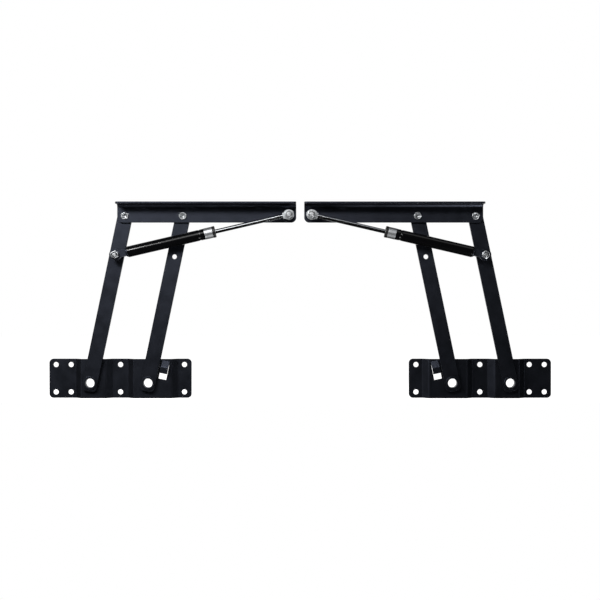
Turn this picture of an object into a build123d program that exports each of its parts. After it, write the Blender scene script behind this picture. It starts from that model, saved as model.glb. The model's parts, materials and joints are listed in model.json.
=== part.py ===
from build123d import *
from math import atan2, cos, degrees, hypot, radians, sin
import os

# A pair of lift top brackets, left and right, in the raised position.
# Millimetres: +X to the viewer's right, +Y into the table's side wall, +Z up.
# x = 0 is the mirror plane between the two brackets, y = 0 the middle of their depth,
# and z = 0 the lower edge of the base plates. Depths are counted from the wall towards the viewer.

# Linkage
arm_pitch = 235.5  # base pivot to top pivot
pivot_spacing = 80.0  # front pivot to rear pivot, on the plate and on the rail
raised_lean = 11.85  # degrees from upright, towards the middle
pivot_height = 21.5  # base pivots above the plate's lower edge
play = 0.1  # axial gap beside a part that turns
running = 0.05  # radial gap of a part that turns or slides on a pin

# Base plate: a strip with two raised crowns between three flat pads
sheet = 2.0
plate_height = 54.5
plate_corner = 6.0
plate_bend = 2.5  # inside radius
crown_rise = 8.0
slope_run = 8.5
outer_pad = 38.0
front_crown = 32.5
middle_pad = 23.0
rear_crown = 51.0
inner_pad = 19.5
front_pivot_inset = 12.5  # from the outer edge of the front crown
screw_hole = 7.2
screw_edge = 8.2  # from the plate's upper and lower edges
outer_screw = 9.3  # from the plate's outer end
second_screw = 30.2  # from the plate's outer end
middle_screw = 11.5  # from the start of the middle pad
inner_screw = 10.0  # from the plate's inner end

# Stop tongue, lanced from the rear crown beside the rear arm
stop_gap = 2.2
tongue_margin = 2.4  # from the plate's upper edge to the root, on the side of the arm
tongue_ramp = 8.5
tongue_land = 8.3
tongue_width = 10.6
tongue_bend = 1.0
window_foot = 8.7  # above the rear pivot, along the arm
lance_gap = 0.2  # on the side of the arm
tongue_overlap = 1.2  # of the tongue and the plate above its root
window_corner = 0.6

# Arms
arm_width = 20.7
arm_thickness = 4.0
arm_end = 11.5  # past each pivot
arm_corner = 6.0
arm_chamfer = 0.4
strut_drop = 55.2  # strut bolt below the top pivot, along the front arm
spare_drop = 57.3  # spare hole below the top pivot, along the rear arm

# Hollow rivets of the base pivots
eyelet_bore = 12.5
eyelet_wall = 1.05
eyelet_lip = 2.0
eyelet_lip_thickness = 1.2
eyelet_lip_round = 0.7
base_washer_radius = 9.4
base_washer_thickness = 1.0

# Semi-tubular rivets of the top pivots
rivet_radius = 3.6
rivet_head_radius = 6.0
rivet_head_height = 1.8
roll_radius = 5.2
roll_height = 1.3
rivet_bore = 2.4
rivet_bore_depth = 4.0
top_washer_radius = 8.5
top_washer_thickness = 0.8

# Top rail
rail_length = 246.5
rail_gap = 11.0  # between the inner ends of the two rails
rail_sheet = 2.5
rail_bend = 4.5  # inside radius
rail_below = 9.2  # web below the pivots
rail_above = 18.0  # flange top above the pivots
flange_width = 24.0
rail_end_inset = 10.2  # front pivot from the outer end
rod_end_inset = 10.0  # rod bolt from the inner end
rod_bolt_rise = 1.2  # above the top pivots
web_corner = 7.0
flange_corner = 4.0
flange_hole = 6.5
flange_hole_setback = 10.0  # from the flange's front edge
flange_hole_places = (30.0, 98.0, 195.0)  # from the rail's outer end

# M6 fasteners
bolt_radius = 3.0
bolt_hole_radius = 3.25
hexagon_flats = 10.0
head_height = 4.0
hexagon_bevel = 0.7
nut_height = 4.2
insert_radius = 4.1
insert_height = 1.4
nut_collar_wall = 0.5
nut_lip = 0.4
nut_mouth_radius = 3.8
bolt_tip = 1.0  # past the nut
spacer_radius = 5.0

# Gas strut
tube_radius = 7.6
tube_wall = 1.5
tube_start = 17.2  # from the strut bolt, along the strut
tube_end = 139.6
tube_edge = 1.2
tube_to_web = 1.0
end_eye_radius = 8.0
eye_thickness = 7.0
neck_width = 10.0
neck_fillet = 3.0
shoulder_radius = 6.6
shoulder_length = 2.0
plug_length = 6.0
label_start = 125.6
label_length = 11.2
label_thickness = 0.15
cap_length = 2.6
cap_wall = 0.35
cap_face = 1.0
cap_edge = 0.8
guide_length = 14.0
seal_length = 5.5
seal_gap = 0.2
crimp_width = 3.0  # rolled into the tube behind the seal
crimp_depth = 0.5
rod_radius = 3.0
spigot_radius = 2.5
piston_length = 8.0
piston_gap = 1.6  # from the crimp when the rod is out
groove_width = 2.0
groove_depth = 1.2
ring_gap = 0.1  # round the ring in its groove
tail_radius = 3.5
tail_length = 1.5
rod_eye_radius = 7.0
collar_width = 9.6
collar_reach = 8.8  # from the rod bolt
collar_length = 2.6
collar_chamfer = 0.5
collar_flats = 6.4  # across the two faces milled on the collar
spigot_length = 4.5

# Depths of the layers, from the wall
crown_front = crown_rise + sheet
arm_back = crown_front + base_washer_thickness + play
arm_front = arm_back + arm_thickness
web_back = arm_front + play + top_washer_thickness
web_front = web_back + rail_sheet
total_depth = web_back + flange_width
strut_depth = web_front + tube_to_web + tube_radius
eye_back = strut_depth - eye_thickness / 2
eye_front = strut_depth + eye_thickness / 2
wall_y = total_depth / 2

# Pivots of the left bracket, as (x, z)
top_z = pivot_height + arm_pitch * cos(radians(raised_lean))
rail_left = -(rail_gap / 2 + rail_length)
rail_right = -rail_gap / 2
top_front = (rail_left + rail_end_inset, top_z)
top_rear = (top_front[0] + pivot_spacing, top_z)
base_front = (top_front[0] - arm_pitch * sin(radians(raised_lean)), pivot_height)
base_rear = (base_front[0] + pivot_spacing, pivot_height)
rod_bolt = (rail_right - rod_end_inset, top_z + rod_bolt_rise)
strut_bolt_point = (
    top_front[0] - strut_drop * sin(radians(raised_lean)),
    top_z - strut_drop * cos(radians(raised_lean)),
)
strut_rise = rod_bolt[1] - strut_bolt_point[1]
strut_reach = rod_bolt[0] - strut_bolt_point[0]
strut_length = hypot(strut_reach, strut_rise)
strut_angle = degrees(atan2(strut_rise, strut_reach))

# Directions of the raised arms: along them, and across them towards the middle
arm_direction = 90.0 - raised_lean
along_arm = Vector(sin(radians(raised_lean)), 0, cos(radians(raised_lean)))
across_arm = Vector(cos(radians(raised_lean)), 0, -sin(radians(raised_lean)))

# Plate outline, from its outer end
front_crown_start = outer_pad + slope_run
middle_pad_start = front_crown_start + front_crown + slope_run
rear_crown_start = middle_pad_start + middle_pad + slope_run
inner_pad_start = rear_crown_start + rear_crown + slope_run
plate_length = inner_pad_start + inner_pad
plate_left = base_front[0] - front_crown_start - front_pivot_inset

eyelet_radius = eyelet_bore / 2 + eyelet_wall
bore_radius = tube_radius - tube_wall
tongue_inset = arm_width / 2 + stop_gap
tongue_drop = tongue_inset * sin(radians(raised_lean))  # of its side, below the arm's middle line
root_height = plate_height - tongue_margin - pivot_height
tongue_root = (root_height + tongue_drop) / cos(radians(raised_lean))
insert_front = nut_height + insert_height
lock_nut_height = insert_front + nut_lip


def front_view(depth, origin=(0.0, 0.0), direction=0.0):
    """Plane that faces the viewer; its x axis leans up from +X by direction, in degrees."""
    angle = radians(direction)
    return Plane(
        origin=(origin[0], wall_y - depth, origin[1]),
        x_dir=(cos(angle), 0, sin(angle)),
        z_dir=(0, -1, 0),
    )


def pin_section(point):
    """Plane through a pin's axis: x is the radius and y the depth from the wall."""
    return Plane(origin=(point[0], wall_y, point[1]), x_dir=(1, 0, 0), z_dir=(0, 0, -1))


def pin_axis(point):
    """Axis of a pin, square to the wall."""
    return Axis((point[0], wall_y, point[1]), (0, -1, 0))


def turn_profile(section, axis, *points):
    """Revolve a closed outline of straight runs and add it to the part in hand."""
    with BuildSketch(section) as profile:
        with BuildLine():
            Polyline(*points, close=True)
        make_face()
    revolve(profile.sketch, axis=axis)


def make_hexagon(point, depth, height):
    """Add an M6 head or nut, its corners turned off at both faces."""
    face_radius = hexagon_flats / 2
    with BuildSketch(front_view(depth, point)) as hexagon:
        RegularPolygon(face_radius, 6, major_radius=False, rotation=30)
    extrude(hexagon.sketch, amount=height)
    with BuildSketch(pin_section(point)) as bevel:
        with BuildLine():
            Polyline(
                (0, depth),
                (face_radius, depth),
                (face_radius + 2 * hexagon_bevel, depth + hexagon_bevel),
                (face_radius + 2 * hexagon_bevel, depth + height - hexagon_bevel),
                (face_radius, depth + height),
                (0, depth + height),
                close=True,
            )
        make_face()
    revolve(bevel.sketch, axis=pin_axis(point), mode=Mode.INTERSECT)


def make_ring(point, depth, thickness, outer_radius, inner_radius):
    """Add a flat ring round a pivot."""
    with BuildSketch(front_view(depth, point)) as ring:
        Circle(outer_radius)
        Circle(inner_radius, mode=Mode.SUBTRACT)
    extrude(ring.sketch, amount=thickness)


def make_lock_nut(point, depth):
    """Add an M6 lock nut: a hexagon, and a collar whose lip holds the insert down."""
    make_hexagon(point, depth, nut_height)
    collar_radius = insert_radius + nut_collar_wall
    turn_profile(
        pin_section(point),
        pin_axis(point),
        (insert_radius, depth + nut_height),
        (collar_radius, depth + nut_height),
        (collar_radius, depth + insert_front),
        (collar_radius - nut_lip, depth + lock_nut_height),
        (nut_mouth_radius, depth + lock_nut_height),
        (nut_mouth_radius, depth + insert_front),
        (insert_radius, depth + insert_front),
    )
    with BuildSketch(front_view(depth, point)) as thread:
        Circle(bolt_radius)
    extrude(thread.sketch, amount=nut_height, mode=Mode.SUBTRACT)


def write_pair(piece):
    """Write a piece of the left bracket, and its mirror image for the right one."""
    name = piece.label
    with BuildPart() as mirrored:
        mirror(piece, about=Plane.YZ)
    for side, shape in (("left", piece), ("right", mirrored.part)):
        shape.label = f"{side}_{name}"
        export_step(shape, f"parts/{shape.label}.step")


os.makedirs("parts", exist_ok=True)

# Base plate, bent from one strip
with BuildPart() as base_plate:
    plan = Plane(origin=(plate_left, wall_y, plate_height), x_dir=(1, 0, 0), z_dir=(0, 0, -1))
    with BuildSketch(plan):
        with BuildLine():
            rising_bends = [plate_bend + sheet, plate_bend]
            falling_bends = [plate_bend, plate_bend + sheet]
            FilletPolyline(
                (0, 0),
                (outer_pad, 0),
                (front_crown_start, crown_rise),
                (front_crown_start + front_crown, crown_rise),
                (middle_pad_start, 0),
                (middle_pad_start + middle_pad, 0),
                (rear_crown_start, crown_rise),
                (rear_crown_start + rear_crown, crown_rise),
                (inner_pad_start, 0),
                (plate_length, 0),
                radius=2 * (rising_bends + falling_bends),
            )
            offset(amount=sheet, side=Side.LEFT)
        make_face()
    extrude(amount=plate_height)
    ends = base_plate.edges().filter_by(Axis.Y).group_by(Axis.X)
    fillet(ends[0] + ends[-1], radius=plate_corner)

    screw_columns = (
        outer_screw,
        second_screw,
        middle_pad_start + middle_screw,
        plate_length - inner_screw,
    )
    screw_rows = (screw_edge, plate_height - screw_edge)
    with BuildSketch(front_view(0, (plate_left, 0))):
        with Locations(*[(column, row) for column in screw_columns for row in screw_rows]):
            Circle(screw_hole / 2)
    extrude(amount=sheet, mode=Mode.SUBTRACT)
    with BuildSketch(front_view(crown_rise)):
        with Locations(base_front, base_rear):
            Circle(eyelet_radius)
    extrude(amount=sheet, mode=Mode.SUBTRACT)

    # The tongue stands beside the arm, so its window starts a lance gap nearer to it
    window_height = tongue_root - window_foot
    window_middle = tongue_inset + (tongue_width - lance_gap) / 2
    with BuildSketch(front_view(crown_rise, base_rear, arm_direction)):
        with Locations((window_foot + window_height / 2, -window_middle)):
            RectangleRounded(window_height, tongue_width + lance_gap, window_corner)
    extrude(amount=sheet, mode=Mode.SUBTRACT)
    tongue_side = Vector(base_rear[0], wall_y, base_rear[1]) + across_arm * tongue_inset
    tongue_lift = arm_front - crown_front
    with BuildSketch(Plane(origin=tongue_side, x_dir=along_arm, z_dir=across_arm)):
        with BuildLine():
            FilletPolyline(
                (tongue_root + tongue_overlap, crown_rise),
                (tongue_root, crown_rise),
                (tongue_root - tongue_ramp, crown_rise + tongue_lift),
                (tongue_root - tongue_ramp - tongue_land, crown_rise + tongue_lift),
                radius=[tongue_bend, tongue_bend + sheet],
            )
            offset(amount=sheet, side=Side.RIGHT)
        make_face()
    extrude(amount=tongue_width)
base_plate.part.label = "base_plate"
write_pair(base_plate.part)

# Arms: the rear one has a spare hole, a little below the height of the strut bolt
for foot, hole_drop, name in (
    (base_front, strut_drop, "front_arm"),
    (base_rear, spare_drop, "rear_arm"),
):
    with BuildPart() as arm:
        with BuildSketch(front_view(arm_back, foot, arm_direction)):
            with Locations((arm_pitch / 2, 0)):
                RectangleRounded(arm_pitch + 2 * arm_end, arm_width, arm_corner)
            Circle(eyelet_radius + running, mode=Mode.SUBTRACT)
            with Locations((arm_pitch, 0)):
                Circle(rivet_radius + running, mode=Mode.SUBTRACT)
            with Locations((arm_pitch - hole_drop, 0)):
                Circle(bolt_hole_radius, mode=Mode.SUBTRACT)
        extrude(amount=arm_thickness)
        rims = [face.outer_wire().edges() for face in arm.faces().filter_by(Axis.Y)]
        chamfer(rims, length=arm_chamfer)
    arm.part.label = name
    write_pair(arm.part)

# Base pivots: a hollow rivet through the crown and the arm, with a washer between them
for point, name in ((base_front, "front"), (base_rear, "rear")):
    with BuildPart() as base_eyelet:
        tail = crown_rise - eyelet_lip_thickness
        lip_back = arm_front + play
        lip_front = lip_back + eyelet_lip_thickness
        lip_radius = eyelet_radius + eyelet_lip
        with BuildSketch(pin_section(point)) as profile:
            with BuildLine():
                Polyline(
                    (eyelet_bore / 2, tail),
                    (lip_radius, tail),
                    (lip_radius, crown_rise),
                    (eyelet_radius, crown_rise),
                    (eyelet_radius, lip_back),
                    (lip_radius, lip_back),
                    (lip_radius, lip_front),
                    (eyelet_bore / 2, lip_front),
                    close=True,
                )
            make_face()
            fillet(profile.vertices().group_by(Axis.Y)[-1], radius=eyelet_lip_round)
        revolve(axis=pin_axis(point))
    base_eyelet.part.label = f"{name}_base_eyelet"
    write_pair(base_eyelet.part)

    with BuildPart() as base_washer:
        make_ring(point, crown_front, base_washer_thickness, base_washer_radius, eyelet_radius)
    base_washer.part.label = f"{name}_base_washer"
    write_pair(base_washer.part)

# Top rail: an angle with its flange towards the viewer
with BuildPart() as top_rail:
    inner_end = Plane(origin=(rail_right, wall_y, top_z), x_dir=(0, -1, 0), z_dir=(-1, 0, 0))
    with BuildSketch(inner_end):
        with BuildLine():
            FilletPolyline(
                (web_back, -rail_below),
                (web_back, rail_above),
                (total_depth, rail_above),
                radius=rail_bend + rail_sheet,
            )
            offset(amount=rail_sheet, side=Side.RIGHT)
        make_face()
    extrude(amount=rail_length)
    fillet(top_rail.edges().filter_by(Axis.Y).group_by(Axis.Z)[0], radius=web_corner)
    fillet(top_rail.edges().filter_by(Axis.Z).group_by(Axis.Y)[0], radius=flange_corner)
    with BuildSketch(front_view(web_back)):
        with Locations(top_front, top_rear):
            Circle(rivet_radius)
        with Locations(rod_bolt):
            Circle(bolt_radius)
    extrude(amount=rail_sheet, mode=Mode.SUBTRACT)
    flange_face = Plane(
        origin=(rail_left, flange_hole_setback - wall_y, top_z + rail_above), z_dir=(0, 0, 1)
    )
    with BuildSketch(flange_face):
        with Locations(*[(place, 0) for place in flange_hole_places]):
            Circle(flange_hole / 2)
    extrude(amount=-rail_sheet, mode=Mode.SUBTRACT)
top_rail.part.label = "top_rail"
write_pair(top_rail.part)

# Top pivots: a rivet rolled over in front of the web, with a washer behind the web
for point, name in ((top_front, "front"), (top_rear, "rear")):
    with BuildPart() as top_rivet:
        head_front = arm_back - play
        head_back = head_front - rivet_head_height
        roll_middle = ((roll_radius + rivet_bore) / 2, web_front + roll_height)
        bore_end = web_front - rivet_bore_depth
        with BuildSketch(pin_section(point)):
            with BuildLine():
                Line((0, bore_end), (0, head_back))
                TangentArc((0, head_back), (rivet_head_radius, head_front), tangent=(1, 0))
                Polyline(
                    (rivet_head_radius, head_front),
                    (rivet_radius, head_front),
                    (rivet_radius, web_front),
                    (roll_radius, web_front),
                )
                roll = ThreePointArc((roll_radius, web_front), roll_middle, (rivet_bore, web_front))
                Polyline(roll @ 1, (rivet_bore, bore_end + rivet_bore / 2), (0, bore_end))
            make_face()
        revolve(axis=pin_axis(point))
    top_rivet.part.label = f"{name}_top_rivet"
    write_pair(top_rivet.part)

    with BuildPart() as top_washer:
        washer_back = web_back - top_washer_thickness
        make_ring(point, washer_back, top_washer_thickness, top_washer_radius, rivet_radius)
    top_washer.part.label = f"{name}_top_washer"
    write_pair(top_washer.part)

# Strut bolt: its head behind the arm, a spacer in front of it, the strut's eye and a lock nut
with BuildPart() as strut_bolt:
    make_hexagon(strut_bolt_point, arm_back - head_height, head_height)
    bolt_front = eye_front + play + lock_nut_height + bolt_tip
    with BuildSketch(front_view(arm_back, strut_bolt_point)):
        Circle(bolt_radius)
    extrude(amount=bolt_front - arm_back)
    chamfer(strut_bolt.edges().group_by(Axis.Y)[0], length=bolt_tip / 2)
strut_bolt.part.label = "strut_bolt"
write_pair(strut_bolt.part)

with BuildPart() as strut_spacer:
    spacer_length = eye_back - play - arm_front
    make_ring(strut_bolt_point, arm_front, spacer_length, spacer_radius, bolt_radius)
strut_spacer.part.label = "strut_spacer"
write_pair(strut_spacer.part)

with BuildPart() as strut_nut:
    make_lock_nut(strut_bolt_point, eye_front + play)
strut_nut.part.label = "strut_nut"
write_pair(strut_nut.part)

# Rod bolt, in two halves that meet at the rod's eye: head and spacer stay on the rail
with BuildPart() as rail_bolt:
    make_hexagon(rod_bolt, web_back - head_height, head_height)
    with BuildSketch(front_view(web_back, rod_bolt)):
        Circle(bolt_radius)
    extrude(amount=eye_back - play - web_back)
rail_bolt.part.label = "rail_bolt"
write_pair(rail_bolt.part)

with BuildPart() as rail_spacer:
    spacer_length = eye_back - play - web_front
    make_ring(rod_bolt, web_front, spacer_length, spacer_radius, bolt_radius)
rail_spacer.part.label = "rail_spacer"
write_pair(rail_spacer.part)

with BuildPart() as rod_pivot:
    pivot_front = eye_front + lock_nut_height + bolt_tip
    with BuildSketch(front_view(eye_back, rod_bolt)):
        Circle(bolt_radius)
    extrude(amount=pivot_front - eye_back)
    chamfer(rod_pivot.edges().group_by(Axis.Y)[0], length=bolt_tip / 2)
rod_pivot.part.label = "rod_pivot"
write_pair(rod_pivot.part)

with BuildPart() as rod_nut:
    make_lock_nut(rod_bolt, eye_front)
rod_nut.part.label = "rod_nut"
write_pair(rod_nut.part)

for point, depth, name in (
    (strut_bolt_point, eye_front + play, "strut_nut_insert"),
    (rod_bolt, eye_front, "rod_nut_insert"),
):
    with BuildPart() as nut_insert:
        make_ring(point, depth + nut_height, insert_height, insert_radius, bolt_radius)
    nut_insert.part.label = name
    write_pair(nut_insert.part)

# Gas strut, drawn along its own axis from the strut bolt
strut_plane = front_view(strut_depth, strut_bolt_point, strut_angle)
strut_axis = Axis(strut_plane.origin, strut_plane.x_dir)
guide_start = tube_end - guide_length
seal_start = guide_start - seal_length
crimp_start = seal_start - crimp_width
crimp_middle = seal_start - crimp_width / 2

with BuildPart() as strut_tube:
    with BuildSketch(strut_plane) as profile:
        with BuildLine():
            Polyline((tube_start, bore_radius), (tube_start, tube_radius), (crimp_start, tube_radius))
            ThreePointArc(
                (crimp_start, tube_radius),
                (crimp_middle, tube_radius - crimp_depth),
                (seal_start, tube_radius),
            )
            Polyline(
                (seal_start, tube_radius),
                (tube_end, tube_radius),
                (tube_end, bore_radius),
                (seal_start, bore_radius),
            )
            ThreePointArc(
                (seal_start, bore_radius),
                (crimp_middle, bore_radius - crimp_depth),
                (crimp_start, bore_radius),
            )
            Line((crimp_start, bore_radius), (tube_start, bore_radius))
        make_face()
        rims = profile.vertices().group_by(Axis.Y)[-1].sort_by(Axis.X)
        fillet([rims[0], rims[-1]], radius=tube_edge)
    revolve(axis=strut_axis)
strut_tube.part.label = "strut_tube"
write_pair(strut_tube.part)

with BuildPart() as strut_end_eye:
    with BuildSketch(strut_plane) as fork:
        Circle(end_eye_radius)
        with Locations((tube_start / 2, 0)):
            Rectangle(tube_start, neck_width)
        fillet(fork.vertices().sort_by(Axis.X)[:2], radius=neck_fillet)
    extrude(amount=eye_thickness / 2, both=True)
    turn_profile(
        strut_plane,
        strut_axis,
        (tube_start - shoulder_length, 0),
        (tube_start - shoulder_length, shoulder_radius - shoulder_length / 2),
        (tube_start - shoulder_length / 2, shoulder_radius),
        (tube_start, shoulder_radius),
        (tube_start, bore_radius),
        (tube_start + plug_length, bore_radius),
        (tube_start + plug_length, 0),
    )
    with BuildSketch(strut_plane):
        Circle(bolt_radius + running)
    extrude(amount=eye_thickness / 2, both=True, mode=Mode.SUBTRACT)
strut_end_eye.part.label = "strut_end_eye"
write_pair(strut_end_eye.part)

with BuildPart() as strut_label:
    turn_profile(
        strut_plane,
        strut_axis,
        (label_start, tube_radius),
        (label_start, tube_radius + label_thickness),
        (label_start + label_length, tube_radius + label_thickness),
        (label_start + label_length, tube_radius),
    )
strut_label.part.label = "strut_label"
write_pair(strut_label.part)

with BuildPart() as strut_end_cap:
    cap_radius = tube_radius + cap_wall
    cap_start = tube_end - cap_length
    with BuildSketch(strut_plane) as profile:
        with BuildLine():
            Polyline(
                (cap_start, tube_radius),
                (cap_start, cap_radius),
                (tube_end + cap_face, cap_radius),
                (tube_end + cap_face, rod_radius + seal_gap),
                (tube_end, rod_radius + seal_gap),
                (tube_end, tube_radius),
                close=True,
            )
        make_face()
        fillet(profile.vertices().group_by(Axis.X)[-1].sort_by(Axis.Y)[-1], radius=cap_edge)
        tube_corner = profile.vertices().sort_by_distance((tube_end, tube_radius, 0))[0]
        fillet(tube_corner, radius=tube_edge)
    revolve(axis=strut_axis)
strut_end_cap.part.label = "strut_end_cap"
write_pair(strut_end_cap.part)

for start, end, gap, name in (
    (guide_start, tube_end, running, "strut_guide"),
    (seal_start, guide_start, seal_gap, "strut_seal"),
):
    with BuildPart() as packing:
        turn_profile(
            strut_plane,
            strut_axis,
            (start, rod_radius + gap),
            (start, bore_radius),
            (end, bore_radius),
            (end, rod_radius + gap),
        )
    packing.part.label = name
    write_pair(packing.part)

piston_front = crimp_start - piston_gap
piston_back = piston_front - piston_length
rod_end = strut_length - collar_reach
with BuildPart() as strut_rod:
    turn_profile(
        strut_plane,
        strut_axis,
        (piston_back - tail_length, 0),
        (piston_back - tail_length, tail_radius - tail_length / 2),
        (piston_back, tail_radius),
        (piston_back, spigot_radius),
        (piston_front, spigot_radius),
        (piston_front, rod_radius),
        (rod_end, rod_radius),
        (rod_end, spigot_radius),
        (rod_end + spigot_length, spigot_radius),
        (rod_end + spigot_length, 0),
    )
strut_rod.part.label = "strut_rod"
write_pair(strut_rod.part)

# The piston and its ring, loose in the groove
with BuildPart() as strut_piston:
    piston_radius = bore_radius - running
    groove_floor = piston_radius - groove_depth
    groove_start = piston_back + (piston_length - groove_width) / 2
    groove_end = groove_start + groove_width
    turn_profile(
        strut_plane,
        strut_axis,
        (piston_back, spigot_radius),
        (piston_back, piston_radius),
        (groove_start, piston_radius),
        (groove_start, groove_floor),
        (groove_end, groove_floor),
        (groove_end, piston_radius),
        (piston_front, piston_radius),
        (piston_front, spigot_radius),
    )
    turn_profile(
        strut_plane,
        strut_axis,
        (groove_start + ring_gap, groove_floor + ring_gap),
        (groove_start + ring_gap, piston_radius),
        (groove_end - ring_gap, piston_radius),
        (groove_end - ring_gap, groove_floor + ring_gap),
    )
strut_piston.part.label = "strut_piston"
write_pair(strut_piston.part)

with BuildPart() as rod_eye:
    collar_end = rod_end + collar_length
    turn_profile(
        strut_plane,
        strut_axis,
        (rod_end, 0),
        (rod_end, collar_width / 2 - collar_chamfer),
        (rod_end + collar_chamfer, collar_width / 2),
        (collar_end - collar_chamfer, collar_width / 2),
        (collar_end, collar_width / 2 - collar_chamfer),
        (collar_end, 0),
    )
    eye_plane = front_view(strut_depth, rod_bolt, strut_angle)
    with BuildSketch(eye_plane):
        with Locations((-collar_reach, 0)):
            Rectangle(4 * collar_length, 2 * collar_width)
    extrude(amount=collar_flats / 2, both=True, mode=Mode.INTERSECT)
    with BuildSketch(eye_plane):
        neck_end = collar_length - collar_reach
        with BuildLine():
            CenterArc((0, 0), rod_eye_radius, 0, 360)
            Line((neck_end, -collar_width / 2), (neck_end, collar_width / 2))
        make_hull()
        Circle(bolt_radius, mode=Mode.SUBTRACT)
    extrude(amount=eye_thickness / 2, both=True)
    spigot_start = strut_plane.from_local_coords((rod_end, 0, 0))
    with BuildSketch(Plane(origin=spigot_start, z_dir=strut_axis.direction)):
        Circle(spigot_radius)
    extrude(amount=spigot_length, mode=Mode.SUBTRACT)
rod_eye.part.label = "rod_eye"
write_pair(rod_eye.part)
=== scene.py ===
# %% [markdown]
# # A pair of lift top brackets
#
# The object is a left and a right bracket of a lift top table: pressed steel plates, flat arms, an
# angle rail and a small gas strut on each side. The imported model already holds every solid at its
# real size. This lesson gives the solids their surfaces, rounds their rims and remakes the turned
# and threaded fasteners in finer detail, then lights the pair like a catalogue picture.

import json
from math import cos, degrees, pi, radians, sin, tan

import bmesh
import bpy
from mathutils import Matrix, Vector


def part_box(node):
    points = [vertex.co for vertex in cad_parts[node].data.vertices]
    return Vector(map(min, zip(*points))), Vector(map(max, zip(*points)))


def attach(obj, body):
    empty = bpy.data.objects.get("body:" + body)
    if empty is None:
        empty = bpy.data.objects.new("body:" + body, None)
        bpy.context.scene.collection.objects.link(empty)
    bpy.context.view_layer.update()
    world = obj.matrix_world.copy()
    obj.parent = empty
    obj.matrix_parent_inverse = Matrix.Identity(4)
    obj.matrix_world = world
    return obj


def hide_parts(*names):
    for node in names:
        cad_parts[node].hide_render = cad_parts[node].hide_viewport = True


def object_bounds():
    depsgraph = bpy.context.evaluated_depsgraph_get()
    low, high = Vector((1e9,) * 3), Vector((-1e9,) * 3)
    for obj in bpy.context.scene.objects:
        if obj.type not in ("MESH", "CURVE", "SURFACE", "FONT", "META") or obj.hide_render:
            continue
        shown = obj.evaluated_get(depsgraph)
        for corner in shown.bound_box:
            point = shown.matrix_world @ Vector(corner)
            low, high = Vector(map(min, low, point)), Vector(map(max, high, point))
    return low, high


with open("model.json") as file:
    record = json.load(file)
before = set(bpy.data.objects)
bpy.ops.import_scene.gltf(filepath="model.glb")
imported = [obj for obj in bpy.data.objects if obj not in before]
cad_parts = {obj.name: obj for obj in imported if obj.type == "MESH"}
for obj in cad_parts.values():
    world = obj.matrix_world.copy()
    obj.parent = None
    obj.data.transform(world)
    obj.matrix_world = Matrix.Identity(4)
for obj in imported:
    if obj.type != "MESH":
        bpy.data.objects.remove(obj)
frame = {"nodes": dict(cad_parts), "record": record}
cad_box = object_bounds()

# %% [markdown]
# ## Colours and nodes
#
# A colour picked from a picture is an sRGB value, but shaders calculate in linear light, so one
# function turns the hex code of the first into the numbers of the second. A second function adds a
# node: it sets the node's properties, then fills its sockets with values or with links from other
# nodes. It serves shader trees and Geometry Nodes trees alike. No real finish is quite even, so the
# last function lets a noise cloud the colour, move the gloss and raise a fine relief.


# %% Colours and nodes
def srgb(code):
    """Turn an sRGB hex code into a linear colour with alpha 1."""
    shares = [int(code[place : place + 2], 16) / 255 for place in (0, 2, 4)]
    linear = [s / 12.92 if s <= 0.04045 else ((s + 0.055) / 1.055) ** 2.4 for s in shares]
    return (*linear, 1.0)


def add_node(tree, kind, sockets=None, **settings):
    """Add a node, set its properties, and fill its sockets; a list fills one socket several times."""
    node = tree.nodes.new(kind)
    for name, value in settings.items():
        setattr(node, name, value)
    for name, value in (sockets or {}).items():
        for source in value if isinstance(value, list) else [value]:
            if isinstance(source, bpy.types.NodeSocket):
                tree.links.new(source, node.inputs[name])
            else:
                node.inputs[name].default_value = source
    return node


print("srgb 808080 is", round(srgb("808080")[0], 3), "in linear light")


# %% Materials that are not quite even
def start_material(name, sockets):
    """Make a material, set its Principled shader's own sockets, and hand back what trees need."""
    material = bpy.data.materials.new(name)
    material.use_nodes = True
    tree = material.node_tree
    shader = tree.nodes["Principled BSDF"]
    for socket, value in sockets.items():
        shader.inputs[socket].default_value = value
    place = add_node(tree, "ShaderNodeTexCoord").outputs["Object"]
    return material, tree, shader, place


NOISE_LOW, NOISE_HIGH = 0.3, 0.7  # nearly all of a noise lies between these


def vary_finish(tree, shader, noise, shades=None, gloss=None, depth=None):
    """Let a noise move the colour, the gloss and the relief, whichever are given.

    shades are two hex codes, gloss two roughnesses, and depth the relief's height in metres.
    """
    if shades:
        colour = add_node(tree, "ShaderNodeValToRGB", {"Fac": noise})
        for stop, shade in zip(colour.color_ramp.elements, shades):
            stop.color = srgb(shade)
        tree.links.new(colour.outputs["Color"], shader.inputs["Base Color"])
    if gloss:
        limits = {"From Min": NOISE_LOW, "From Max": NOISE_HIGH, "To Min": gloss[0], "To Max": gloss[1]}
        spread = add_node(tree, "ShaderNodeMapRange", {"Value": noise, **limits})
        tree.links.new(spread.outputs["Result"], shader.inputs["Roughness"])
    if depth:
        bump = add_node(tree, "ShaderNodeBump", {"Height": noise, "Distance": depth})
        tree.links.new(bump.outputs["Normal"], shader.inputs["Normal"])


print("a noise counts from", NOISE_LOW, "to", NOISE_HIGH)

# %% [markdown]
# ## Black powder coat
#
# The plates, arms and rails are pressed steel, sprayed with dry powder that melts in an oven. The
# melted film keeps a soft orange peel of about a millimetre and a half, and its gloss wanders a
# little. A low bump from a noise texture gives the peel, and a wider noise moves the roughness and
# the shade of black. The film's broad sheen is faintly blue, so its specular tint is too.

# %% Powder coat
MM = 0.001
PEEL_CELL = 1.6 * MM
PEEL_DEPTH = 0.02 * MM
CLOUD_CELL = 14 * MM


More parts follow.
